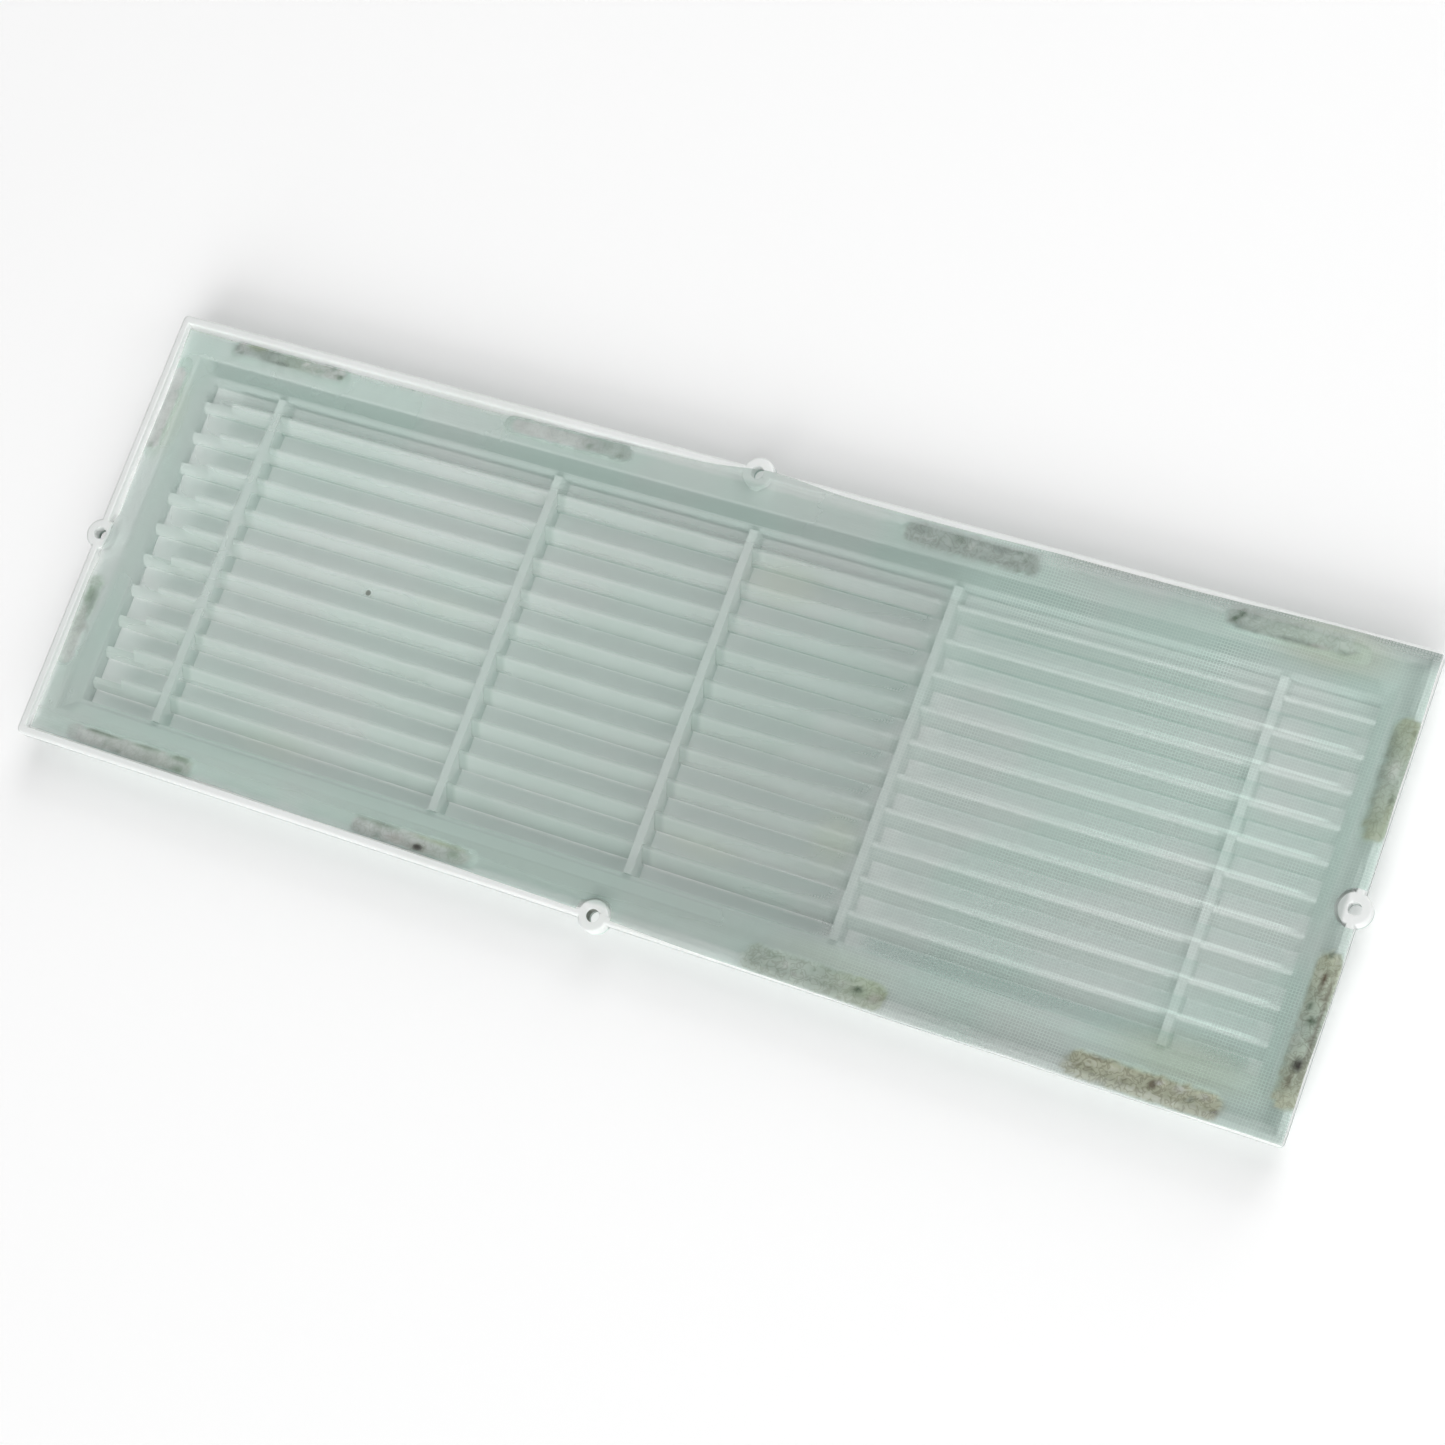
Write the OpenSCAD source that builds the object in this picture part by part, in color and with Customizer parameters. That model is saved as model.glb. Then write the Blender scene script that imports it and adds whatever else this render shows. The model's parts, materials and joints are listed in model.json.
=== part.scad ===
// Louvred air diffuser panel of a dryer, with a mesh screen held on by glue pads.
// Millimetres. The origin is on the rear face at the middle of the panel.
// +X runs along the panel, +Y across it, and +Z points out of the mesh side.

/* [Panel] */
// Length over the lip
panel_l = 356; // [320:1:420]
// Width over the lip
panel_w = 124; // [112:1:150]
// Depth from the rear face to the lip's top
panel_h = 12; // [11.5:0.1:14]
// Radius of the outer corners, seen from the front
corner_r = 1.5; // [0.5:0.1:4]
// Thickness of the lip
lip_t = 2.2; // [1:0.1:2.4]
// How far the lip stands above the flange
lip_rise = 2.4; // [1.6:0.1:3]
// Thickness of the flange
flange_t = 1.6; // [1.2:0.1:2]
// Width of the flange along the long sides, lip included
side_flange_w = 9.5; // [8.5:0.1:12]
// Width of the flange along the ends, lip included
end_flange_w = 7.6; // [7.5:0.1:10]

/* [Well and window] */
// Depth of the drafted well below the flange
well_depth = 4.1; // [3.6:0.1:4.4]
// How far the well's walls lean in over that depth
draft_run = 3.8; // [2:0.1:5]
// Thickness of the well's walls and of the window wall
wall_t = 1.8; // [1.5:0.1:2.2]
// Width of the ledge along the window's long sides
ledge_w = 1.3; // [1:0.1:2.5]

/* [Louvre blades] */
// Number of blades
blade_count = 10; // [6:1:11]
// Thickness of a blade
blade_t = 1.2; // [0.9:0.1:1.4]
// Lean of a blade from upright
blade_tilt = 42; // [30:1:46]
// Height of a leaning blade, from its rear edge to its front edge
blade_rise = 4.65; // [4.2:0.05:4.8]
// Distance from the window's edge to the middle of the nearest blade
edge_space = 6.4; // [5:0.1:8]
// Length of the narrow tongue at the left end, clear of the wall
tongue_l = 9.3; // [4:0.1:16]

/* [Cross ribs] */
// Thickness of a rib
rib_t = 2.2; // [1.6:0.1:3]
// How far a rib stands in front of the blades
rib_proud = 0.8; // [0.7:0.1:1.2]
// Distance from an end wall to the outer rib
end_bay = 24; // [20:1:34]
// Place of the inner ribs, as a share of the way to the outer ones
inner_rib_share = 0.4; // [0.3:0.01:0.6]
// How deep a rib's end sits in its socket
socket_depth = 1; // [0.6:0.1:1.2]

/* [Screw bosses] */
// Radius of a boss
boss_r = 4.2; // [3.6:0.1:4.4]
// Radius of the screw hole
screw_r = 1.7; // [1.3:0.1:2.2]
// Distance from the panel's edge to the middle of the boss
boss_inset = 1.2; // [0.5:0.1:3.3]
// Place along Y of the bosses on the ends
end_boss_y = -3.5; // [-5:0.5:5]
// Place along X of the bosses on the long sides
side_boss_x = -2.5; // [-15:0.5:15]

/* [Glue and mesh] */
// Thickness of a glue pad
pad_t = 0.35; // [0.2:0.05:0.6]
// Width of the pads on the long sides
side_pad_w = 5.6; // [4:0.1:6.4]
// Length of the pads on the long sides
side_pad_l = 38; // [25:1:45]
// Width of the pads on the ends
end_pad_w = 4.6; // [3.4:0.1:5.4]
// Thickness of the mesh
mesh_t = 0.3; // [0.2:0.05:0.6]
// Space between the mesh's edge and the lip
mesh_gap = 0.3; // [0.2:0.1:1]

/* [Fits] */
// Space round a blade in the ribs and the end walls
blade_fit = 0.12; // [0.08:0.01:0.2]
// Space round a rib's end in its socket, on each side
rib_fit = 0.1; // [0.05:0.01:0.2]
// Space between the mesh's notch and the boss
notch_fit = 0.4; // [0.2:0.1:1]

/* [Hidden] */
$fn = 48;
// Extra reach of a cut past the surface that it opens
past = 1;

flange_top = panel_h - lip_rise;
flange_rear = flange_top - flange_t;
// The well's floor is also the level of the blades' front edges.
floor_z = flange_top - well_depth;
floor_half_l = panel_l / 2 - end_flange_w - draft_run;
floor_half_w = panel_w / 2 - side_flange_w - draft_run;
window_half_l = floor_half_l;
window_half_w = floor_half_w - ledge_w;
draft_slope = draft_run / well_depth;

blade_pitch = 2 * (window_half_w - edge_space) / (blade_count - 1);
blade_mid_z = floor_z - blade_rise / 2;
// Half the distance between the round edges' centres, along the blade
blade_reach = (blade_rise - blade_t) / 2 / cos(blade_tilt);
// The blades stop this far inside the end walls' outer faces.
end_recess = 0.2;
blade_end_x = window_half_l + wall_t - end_recess;
tongue_root_x = -(window_half_l - tongue_l);

outer_rib_x = window_half_l - end_bay;
inner_rib_x = outer_rib_x * inner_rib_share;
rib_places = [-outer_rib_x, -inner_rib_x, 0, inner_rib_x, outer_rib_x];
rib_half_w = window_half_w - rib_fit;
// Height of the tongue at each end of a rib, below the ledge
rib_tongue_h = floor_z - 1.1;

boss_places = [
    [-(panel_l / 2 - boss_inset), end_boss_y],
    [panel_l / 2 - boss_inset, end_boss_y],
    [side_boss_x, panel_w / 2 - boss_inset],
    [side_boss_x, -(panel_w / 2 - boss_inset)]
];

// The pads on the long sides lie in line with the four outer ribs.
pad_ribs = [-outer_rib_x, -inner_rib_x, inner_rib_x, outer_rib_x];
side_pad_y = panel_w / 2 - (side_flange_w + lip_t) / 2 + 0.3;
end_pad_x = panel_l / 2 - (end_flange_w + lip_t) / 2;
// The pads on the ends were laid by hand: the middle and the length of each, along Y
left_pads = [[36, 30], [-27, 25]];
right_pads = [[29, 33], [-34, 38]];

mesh_rear = flange_top + pad_t;

function two_digits(i) = str(i < 10 ? "0" : "", i);
function blade_node(i) = str("louvre_blade_", two_digits(i));
function rib_node(i) = str("cross_rib_", i);
function pad_node(side, i) = str("glue_pad_", side, "_", i);

// Extrudes an outline drawn in Y and Z along X.
module along_x(from, to) {
    translate([from, 0, 0])
        rotate([90, 0, 90])
            linear_extrude(to - from)
                children();
}

// Extrudes an outline drawn in X and Z along Y.
module along_y(from, to) {
    translate([0, to, 0])
        rotate([90, 0, 0])
            linear_extrude(to - from)
                children();
}

// A plate between two heights, centred on the origin
module plate(l, w, from, to) {
    translate([-l / 2, -w / 2, from])
        cube([l, w, to - from]);
}

module round_cornered_plate(l, w, r, from, to) {
    plate(l - 2 * r, w, from, to);
    plate(l, w - 2 * r, from, to);
    for (x = [-1, 1], y = [-1, 1])
        translate([x * (l / 2 - r), y * (w / 2 - r), from])
            cylinder(r = r, h = to - from);
}

// The drafted well's shape, grown outwards on all four sides
module well_block(grow, from, to) {
    function half_at(floor_half, z) = floor_half + grow + (z - floor_z) * draft_slope;
    module outline(floor_half) {
        polygon([
            [-half_at(floor_half, from), from],
            [half_at(floor_half, from), from],
            [half_at(floor_half, to), to],
            [-half_at(floor_half, to), to]
        ]);
    }
    intersection() {
        along_x(-panel_l, panel_l) outline(floor_half_w);
        along_y(-panel_w, panel_w) outline(floor_half_l);
    }
}

function blade_y(i) = window_half_w - edge_space - (i - 1) * blade_pitch;

// A blade's outline in Y and Z: a leaning strip with round edges
module blade_outline(i, grow) {
    translate([blade_y(i), blade_mid_z])
        rotate(-blade_tilt) {
            square([blade_t + 2 * grow, 2 * blade_reach], center = true);
            for (end = [-1, 1])
                translate([0, end * blade_reach])
                    circle(r = blade_t / 2 + grow);
        }
}

// The rear half of a blade's outline, which runs on as the tongue
module tongue_outline(i, grow) {
    intersection() {
        blade_outline(i, grow);
        translate([blade_y(i) - blade_rise, blade_mid_z - blade_rise])
            square([2 * blade_rise, blade_rise + grow]);
    }
}

module rib_outline(grow) {
    tongue_half = window_half_w + socket_depth - rib_fit + grow;
    translate([-tongue_half, -grow])
        square([2 * tongue_half, rib_tongue_h + 2 * grow]);
}

// The bosses stand out past the lip, as ears do.
module bosses() {
    for (place = boss_places)
        translate([place[0], place[1], flange_rear])
            cylinder(r = boss_r, h = panel_h - flange_rear);
}

module frame_blank() {
    difference() {
        round_cornered_plate(panel_l, panel_w, corner_r, flange_rear, panel_h);
        plate(panel_l - 2 * lip_t, panel_w - 2 * lip_t, flange_top, panel_h + past);
    }
    bosses();
    well_block(wall_t, floor_z - wall_t, flange_top);
    plate(2 * (window_half_l + wall_t), 2 * (window_half_w + wall_t), 0, floor_z);
}

module frame() {
    color("whitesmoke")
        difference() {
            frame_blank();
            well_block(0, floor_z, flange_top + past);
            plate(2 * window_half_l, 2 * window_half_w, -past, floor_z + past);
            for (i = [1 : blade_count]) {
                along_x(0, window_half_l + wall_t + past) blade_outline(i, blade_fit);
                along_x(-(window_half_l + wall_t + past), 0) tongue_outline(i, blade_fit);
            }
            for (x = rib_places)
                along_x(x - rib_t / 2 - rib_fit, x + rib_t / 2 + rib_fit) rib_outline(rib_fit);
            for (place = boss_places)
                translate([place[0], place[1], flange_rear - past])
                    cylinder(r = screw_r, h = panel_h - flange_rear + 2 * past);
        }
}

module louvre_blade(i) {
    color("azure") {
        along_x(tongue_root_x, blade_end_x) blade_outline(i, 0);
        along_x(-blade_end_x, tongue_root_x) tongue_outline(i, 0);
    }
}

module cross_rib(i) {
    x = rib_places[i - 1];
    color("mintcream")
        difference() {
            union() {
                along_x(x - rib_t / 2, x + rib_t / 2) rib_outline(0);
                translate([x, 0, 0])
                    plate(rib_t, 2 * rib_half_w, 0, floor_z + rib_proud);
            }
            for (n = [1 : blade_count])
                along_x(x - rib_t, x + rib_t) blade_outline(n, blade_fit);
        }
}

// A pad with round ends, lying along X
module glue_strip(l, w) {
    translate([0, 0, flange_top]) {
        plate(l - w, w, 0, pad_t);
        for (end = [-1, 1])
            translate([end * (l - w) / 2, 0, 0])
                cylinder(r = w / 2, h = pad_t);
    }
}

module side_glue_pad(side, i) {
    y = side == "top" ? side_pad_y : -side_pad_y;
    color("darkkhaki")
        translate([pad_ribs[i - 1], y, 0])
            glue_strip(side_pad_l, side_pad_w);
}

module end_glue_pad(side, i) {
    x = side == "left" ? -end_pad_x : end_pad_x;
    pad = side == "left" ? left_pads[i - 1] : right_pads[i - 1];
    color("darkkhaki")
        translate([x, pad[0], 0])
            rotate(90)
                glue_strip(pad[1], end_pad_w);
}

module mesh_screen() {
    edge = lip_t + mesh_gap;
    color("honeydew")
        difference() {
            plate(panel_l - 2 * edge, panel_w - 2 * edge, mesh_rear, mesh_rear + mesh_t);
            for (place = boss_places)
                translate([place[0], place[1], mesh_rear - past])
                    cylinder(r = boss_r + notch_fit, h = mesh_t + 2 * past);
        }
}

frame();
for (i = [1 : blade_count])
    louvre_blade(i);
for (i = [1 : len(rib_places)])
    cross_rib(i);
for (side = ["top", "bottom"], i = [1 : len(pad_ribs)])
    side_glue_pad(side, i);
for (side = ["left", "right"], i = [1 : len(left_pads)])
    end_glue_pad(side, i);
mesh_screen();
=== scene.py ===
import json
import math
import bpy
from mathutils import Matrix, Vector, noise

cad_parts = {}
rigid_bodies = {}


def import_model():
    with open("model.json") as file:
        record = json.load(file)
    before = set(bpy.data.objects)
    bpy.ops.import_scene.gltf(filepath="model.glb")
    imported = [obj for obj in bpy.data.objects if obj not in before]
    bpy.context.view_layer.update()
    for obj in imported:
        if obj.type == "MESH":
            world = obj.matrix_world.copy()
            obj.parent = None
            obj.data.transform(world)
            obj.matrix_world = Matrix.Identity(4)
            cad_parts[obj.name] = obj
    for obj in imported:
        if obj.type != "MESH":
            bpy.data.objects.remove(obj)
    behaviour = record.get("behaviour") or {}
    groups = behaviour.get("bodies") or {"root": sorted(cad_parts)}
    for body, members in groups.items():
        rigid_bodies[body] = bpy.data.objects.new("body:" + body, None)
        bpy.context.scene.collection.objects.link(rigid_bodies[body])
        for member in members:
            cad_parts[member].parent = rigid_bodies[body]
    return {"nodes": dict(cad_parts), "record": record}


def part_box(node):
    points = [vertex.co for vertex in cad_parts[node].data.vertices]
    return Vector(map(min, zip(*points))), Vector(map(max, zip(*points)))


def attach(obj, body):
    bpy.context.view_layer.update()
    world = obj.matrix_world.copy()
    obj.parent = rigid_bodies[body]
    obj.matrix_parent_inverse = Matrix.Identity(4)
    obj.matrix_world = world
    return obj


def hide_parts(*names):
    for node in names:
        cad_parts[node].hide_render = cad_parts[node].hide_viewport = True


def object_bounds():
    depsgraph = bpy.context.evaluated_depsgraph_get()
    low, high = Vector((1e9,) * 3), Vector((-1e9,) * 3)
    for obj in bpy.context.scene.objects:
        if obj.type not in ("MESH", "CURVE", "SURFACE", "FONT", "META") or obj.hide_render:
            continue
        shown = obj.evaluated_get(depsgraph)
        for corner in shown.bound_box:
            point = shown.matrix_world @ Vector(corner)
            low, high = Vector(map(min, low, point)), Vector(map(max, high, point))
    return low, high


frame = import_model()
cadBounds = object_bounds()
print("frame loaded")

mm = 0.001


# small helpers

def setMode(mode):
    bpy.ops.object.mode_set(mode=mode)


def deselectAll():
    if bpy.context.object and bpy.context.object.mode != "OBJECT":
        setMode("OBJECT")
    bpy.ops.object.select_all(action="DESELECT")


def makeActive(piece):
    deselectAll()
    piece.select_set(True)
    bpy.context.view_layer.objects.active = piece


def applyPlace(piece):
    makeActive(piece)
    bpy.ops.object.transform_apply(location=True, rotation=True, scale=True)


def paint(piece, material):
    piece.data.materials.clear()
    piece.data.materials.append(material)


def smoothEdges(piece, angle=32):
    makeActive(piece)
    bpy.ops.object.shade_smooth_by_angle(angle=math.radians(angle))


def flattenShading(piece):
    # large flat faces keep their own shading beside a soft bevel
    makeActive(piece)
    piece.modifiers.new("flatFaces", "WEIGHTED_NORMAL").keep_sharp = True
    bpy.ops.object.modifier_apply(modifier="flatFaces")


def mergedCopy(node, name):
    # the frame's own node stays hidden: the copy is joined up so that its edges can be softened
    source = frame["nodes"][node]
    makeActive(source)
    bpy.ops.object.duplicate()
    piece = bpy.context.active_object
    bpy.ops.object.parent_clear(type="CLEAR_KEEP_TRANSFORM")
    piece.name = name
    piece.data.name = name
    setMode("EDIT")
    bpy.ops.mesh.select_all(action="SELECT")
    bpy.ops.mesh.remove_doubles(threshold=0.002 * mm)
    bpy.ops.mesh.select_all(action="DESELECT")
    setMode("OBJECT")
    return piece


def bevelWhere(piece, test, width, segments=3):
    # test says of a sharp edge's two ends whether it gets a soft bevel
    makeActive(piece)
    setMode("EDIT")
    bpy.ops.mesh.select_mode(type="EDGE")
    bpy.ops.mesh.select_all(action="DESELECT")
    bpy.ops.mesh.edges_select_sharp(sharpness=math.radians(30))
    setMode("OBJECT")
    data = piece.data
    sharp = [edge.index for edge in data.edges if edge.select]
    setMode("EDIT")
    bpy.ops.mesh.select_all(action="DESELECT")
    setMode("OBJECT")
    for index in sharp:
        edge = data.edges[index]
        a, b = (data.vertices[i].co for i in edge.vertices)
        edge.select = test(a, b)
    setMode("EDIT")
    bpy.ops.mesh.bevel(offset=width, segments=segments, affect="EDGES", clamp_overlap=True)
    bpy.ops.mesh.select_all(action="DESELECT")
    setMode("OBJECT")


# node helpers

def newMaterial(name):
    material = bpy.data.materials.new(name)
    material.use_nodes = True
    return material, material.node_tree.nodes, material.node_tree.links


def addNode(nodes, kind, **settings):
    node = nodes.new(kind)
    for key, value in settings.items():
        setattr(node, key, value)
    return node


def mathNode(nodes, links, operation, first, second=None, third=None):
    node = addNode(nodes, "ShaderNodeMath", operation=operation)
    for index, value in enumerate((first, second, third)):
        if value is None:
            continue
        if isinstance(value, (int, float)):
            node.inputs[index].default_value = value
        else:
            links.new(value, node.inputs[index])
    return node.outputs[0]


def times(nodes, links, first, second):
    return mathNode(nodes, links, "MULTIPLY", first, second)


def readAttribute(nodes, name, output="Fac"):
    return addNode(nodes, "ShaderNodeAttribute", attribute_name=name).outputs[output]


def mixColour(nodes, links, factor, first, second, blend="MIX"):
    node = addNode(nodes, "ShaderNodeMix", data_type="RGBA", blend_type=blend)
    for socket, value in ((node.inputs[0], factor), (node.inputs[6], first), (node.inputs[7], second)):
        if isinstance(value, (int, float)):
            socket.default_value = value
        elif isinstance(value, tuple):
            socket.default_value = (*value, 1)
        else:
            links.new(value, socket)
    return node.outputs[2]


def fadeRange(nodes, links, value, low, high, outLow=0.0, outHigh=1.0):
    node = addNode(nodes, "ShaderNodeMapRange", interpolation_type="SMOOTHSTEP")
    links.new(value, node.inputs[0])
    node.inputs[1].default_value = low
    node.inputs[2].default_value = high
    node.inputs[3].default_value = outLow
    node.inputs[4].default_value = outHigh
    return node.outputs[0]


def noiseValue(nodes, links, vector, scale, detail=3.0, roughness=0.55, distortion=0.0):
    node = addNode(nodes, "ShaderNodeTexNoise")
    links.new(vector, node.inputs["Vector"])
    node.inputs["Scale"].default_value = scale
    node.inputs["Detail"].default_value = detail
    node.inputs["Roughness"].default_value = roughness
    node.inputs["Distortion"].default_value = distortion
    return node.outputs[0]


def newGroup(name, inputs, outputs):
    group = bpy.data.node_groups.new(name, "ShaderNodeTree")
    for socketName, kind, default in inputs:
        socket = group.interface.new_socket(socketName, in_out="INPUT", socket_type=kind)
        if default is not None:
            socket.default_value = default
    for socketName, kind in outputs:
        group.interface.new_socket(socketName, in_out="OUTPUT", socket_type=kind)
    return group, group.nodes.new("NodeGroupInput"), group.nodes.new("NodeGroupOutput")


def useGroup(nodes, group):
    node = nodes.new("ShaderNodeGroup")
    node.node_tree = group
    return node


# moulded plastic: faint clouding, yellowing and fine scratches along the panel

plastic = {
    "cloudScale": 28,        # per metre
    "grimeScale": 60,
    "scratchScale": 900,
}


def mouldedPlasticGroup():
    group, entry, exit = newGroup(
        "mouldedPlastic",
        [("Vector", "NodeSocketVector", None), ("Clean", "NodeSocketColor", (0.9, 0.92, 0.9, 1)),
         ("Grime", "NodeSocketColor", (0.6, 0.66, 0.6, 1)), ("Grime Amount", "NodeSocketFloat", 0.2)],
        [("Color", "NodeSocketColor"), ("Roughness", "NodeSocketFloat"), ("Height", "NodeSocketFloat")])
    nodes, links = group.nodes, group.links
    vector = entry.outputs["Vector"]
    cloud = noiseValue(nodes, links, vector, plastic["cloudScale"], 2)
    cloudMask = fadeRange(nodes, links, cloud, 0.35, 0.7)
    grime = noiseValue(nodes, links, vector, plastic["grimeScale"], 5, 0.65)
    grimeMask = fadeRange(nodes, links, grime, 0.45, 0.75)
    grimeAmount = times(nodes, links, grimeMask, entry.outputs["Grime Amount"])
    tinted = mixColour(nodes, links, 1.0, entry.outputs["Clean"],
                       mixColour(nodes, links, cloudMask, (1.0, 1.0, 1.0), (0.95, 0.965, 0.955)), "MULTIPLY")
    links.new(mixColour(nodes, links, grimeAmount, tinted, entry.outputs["Grime"]), exit.inputs["Color"])
    stretch = addNode(nodes, "ShaderNodeMapping")
    links.new(vector, stretch.inputs["Vector"])
    stretch.inputs["Scale"].default_value = (0.04, 1, 1)
    scratch = noiseValue(nodes, links, stretch.outputs[0], plastic["scratchScale"], 2)
    links.new(fadeRange(nodes, links, scratch, 0.3, 0.7, 0.36, 0.5), exit.inputs["Roughness"])
    links.new(scratch, exit.inputs["Height"])
    return group


plasticGroup = mouldedPlasticGroup()


def plasticMaterial(name, clean, grime, grimeAmount, extra=None):
    material, nodes, links = newMaterial(name)
    shader = nodes["Principled BSDF"]
    place = nodes.new("ShaderNodeTexCoord").outputs["Object"]
    base = useGroup(nodes, plasticGroup)
    links.new(place, base.inputs["Vector"])
    base.inputs["Clean"].default_value = (*clean, 1)
    base.inputs["Grime"].default_value = (*grime, 1)
    base.inputs["Grime Amount"].default_value = grimeAmount
    colour = base.outputs["Color"]
    if extra:
        colour = extra(nodes, links, place, colour)
    links.new(colour, shader.inputs["Base Color"])
    links.new(base.outputs["Roughness"], shader.inputs["Roughness"])
    bump = nodes.new("ShaderNodeBump")
    bump.inputs["Strength"].default_value = 0.12
    bump.inputs["Distance"].default_value = 0.05 * mm
    links.new(base.outputs["Height"], bump.inputs["Height"])
    links.new(bump.outputs[0], shader.inputs["Normal"])
    shader.inputs["IOR"].default_value = 1.49
    return material


def separateXyz(nodes, links, vector):
    node = nodes.new("ShaderNodeSeparateXYZ")
    links.new(vector, node.inputs[0])
    return node.outputs


def bossPlaces():
    places = []
    for mount in frame["record"]["mounts"]:
        middle = Vector(mount["pos_m"])
        if "spacing_x_mm" in mount["dims"]:
            reach = Vector((mount["dims"]["spacing_x_mm"] * mm / 2, 0, 0))
            places += [middle - reach, middle + reach]
        if "spacing_y_mm" in mount["dims"]:
            reach = Vector((0, mount["dims"]["spacing_y_mm"] * mm / 2, 0))
            places += [middle - reach, middle + reach]
    return places


tray = {
    "clean": (0.90, 0.92, 0.91),
    "grime": (0.66, 0.70, 0.62),
    # trapped dust with painted shade on the flange, and painted shade on the walls: each pair is the -Y side, then
    # the +Y side
    "dustAndShade": ((0.59, 0.67, 0.63), (0.70, 0.78, 0.745)),
    "wellShade": ((0.70, 0.80, 0.755), (0.38, 0.47, 0.435)),
    "endShade": (0.56, 0.65, 0.61),
    "wellFloorShade": (0.62, 0.70, 0.67),
    "palerLeft": (1.14, 1.12, 1.13),       # multiplies the covered flange's colour at the left end
    "darkerRight": (0.88, 0.85, 0.86),       # and at the right end
    "inHole": (0.16, 0.19, 0.15),
    "holeRadius": 2.0 * mm,
    "holeReach": 2.4 * mm,               # edges nearer a boss's middle than this keep their corners
    "palerLeftRange": (-30 * mm, -120 * mm),
    "darkerRightRange": (50 * mm, 120 * mm),
    "lipTop": cadBounds[1][2],
    "lipThick": 2.2 * mm,
    "flangeTop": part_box("glue_pad_top_1")[0][2],
    "floorLevel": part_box("louvre_blade_01")[1][2],
    "outerBevel": 0.8 * mm,
    "innerBevel": 0.4 * mm,
    "wellBevel": 0.3 * mm,
}
screenLow, screenHigh = (Vector(corner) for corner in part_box("mesh_screen"))
lipInner = Vector((screenHigh.x + 0.3 * mm, screenHigh.y + 0.3 * mm))    # the lip's inner face
lipOuter = lipInner + Vector((tray["lipThick"], tray["lipThick"]))


def shadeTray(nodes, links, place, colour):
    # dust is trapped on the flange under the screen, with painted shade making its -Y side darker; the flange is also
    # paler towards the left end and darker towards the right end
    x, y, height = separateXyz(nodes, links, place)
    reachX = mathNode(nodes, links, "ABSOLUTE", x)
    reachY = mathNode(nodes, links, "ABSOLUTE", y)
    wobble = mathNode(nodes, links, "MULTIPLY_ADD", noiseValue(nodes, links, place, 120, 3), 2 * mm, -1 * mm)
    overX = mathNode(nodes, links, "SUBTRACT", mathNode(nodes, links, "ADD", reachX, wobble), screenHigh.x - 0.8 * mm)
    overY = mathNode(nodes, links, "SUBTRACT", mathNode(nodes, links, "ADD", reachY, wobble), screenHigh.y - 1.4 * mm)
    covered = fadeRange(nodes, links, mathNode(nodes, links, "MAXIMUM", overX, overY), 0.5 * mm, -0.8 * mm)
    side = fadeRange(nodes, links, y, -40 * mm, 40 * mm)
    dustAndShade = mixColour(nodes, links, side, *tray["dustAndShade"])
    leftEnd = fadeRange(nodes, links, x, *tray["palerLeftRange"])
    dustAndShade = mixColour(nodes, links, leftEnd, dustAndShade, tray["palerLeft"], "MULTIPLY")
    rightEnd = fadeRange(nodes, links, x, *tray["darkerRightRange"])
    dustAndShade = mixColour(nodes, links, rightEnd, dustAndShade, tray["darkerRight"], "MULTIPLY")
    colour = mixColour(nodes, links, covered, colour, dustAndShade)
    # painted shade inside the hole in the -Y boss
    spot = min(bossPlaces(), key=lambda place: place.y)
    away = addNode(nodes, "ShaderNodeVectorMath", operation="DISTANCE")
    level = nodes.new("ShaderNodeCombineXYZ")
    links.new(x, level.inputs[0])
    links.new(y, level.inputs[1])
    links.new(level.outputs[0], away.inputs[0])
    away.inputs[1].default_value = (spot.x, spot.y, 0)
    hole = times(nodes, links,
                 fadeRange(nodes, links, away.outputs["Value"], tray["holeRadius"], tray["holeRadius"] - 0.2 * mm),
                 fadeRange(nodes, links, height, tray["lipTop"] - 0.1 * mm, tray["lipTop"] - 0.5 * mm))
    colour = mixColour(nodes, links, hole, colour, tray["inHole"])
    # painted shade: the well's drafted walls are darker, the +Y wall most and the end walls in between, and the
    # well's floor is darker too
    depth = fadeRange(nodes, links, height, tray["flangeTop"] - 0.1 * mm, tray["flangeTop"] - 0.9 * mm)
    wall = mixColour(nodes, links, side, *tray["wellShade"])
    wall = mixColour(nodes, links, fadeRange(nodes, links, reachX, 164 * mm, 168 * mm), wall, tray["endShade"])
    colour = mixColour(nodes, links, depth, colour, wall)
    bottom = fadeRange(nodes, links, height, tray["floorLevel"] + 0.3 * mm, tray["floorLevel"] - 0.1 * mm)
    return mixColour(nodes, links, bottom, colour, tray["wellFloorShade"])


def near(value, target, slack=0.05 * mm):
    return abs(value - target) < slack


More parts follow.
